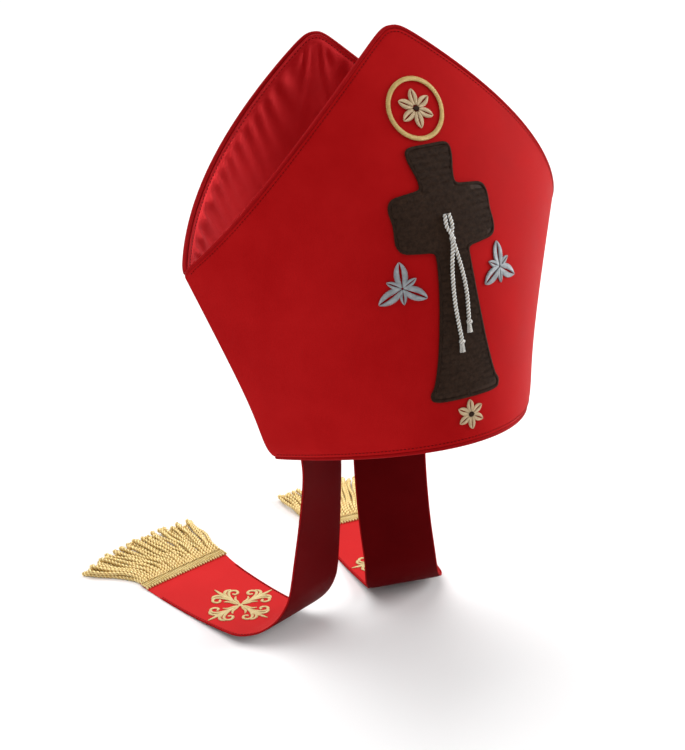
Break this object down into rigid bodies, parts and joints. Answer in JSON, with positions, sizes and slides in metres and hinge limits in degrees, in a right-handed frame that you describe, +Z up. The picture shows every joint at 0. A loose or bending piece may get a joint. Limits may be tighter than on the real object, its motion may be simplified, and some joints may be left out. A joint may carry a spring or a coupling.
{
  "type": "mitre",
  "caption": "Tall bishop's mitre with two stiff horns, a satin-lined fold, corded edges, sewn-on embroidery and two fringed lappets.",
  "frame": {"origin": "middle of the head opening, in the plane of the hat's base edge", "axes": "+Z up as worn (the hat leans back 16.5 degrees), -Y to the wearer's front, +X to the wearer's left"},
  "size_m": [0.3247, 0.3397, 0.4863],
  "materials": {
    "red_fabric": "fine matt twill over stiff interlining",
    "red_satin": "soft satin",
    "red_piping": "satin-covered cord",
    "gold_thread": "twisted metallic thread",
    "brown_thread": "dense satin-stitch embroidery",
    "silver_thread": "metallic satin-stitch embroidery",
    "cream_thread": "satin-stitch embroidery"
  },
  "bodies": {
    "root": {"front_panel": "red_fabric", "back_panel": "red_fabric", "crown_lining": "red_satin", "piping_front": "red_piping", "piping_back": "red_piping", "piping_base": "red_piping", "lappet_left": "red_fabric", "lappet_right": "red_fabric", "fringe_left": "gold_thread", "fringe_right": "gold_thread", "scroll_cross_left": "gold_thread", "scroll_cross_right": "gold_thread", "front_cross": "brown_thread", "front_ring": "gold_thread", "front_rosette": "cream_thread", "foot_roundel": "cream_thread", "front_leaf_left": "silver_thread", "front_leaf_right": "silver_thread"}
  },
  "joints": []
}
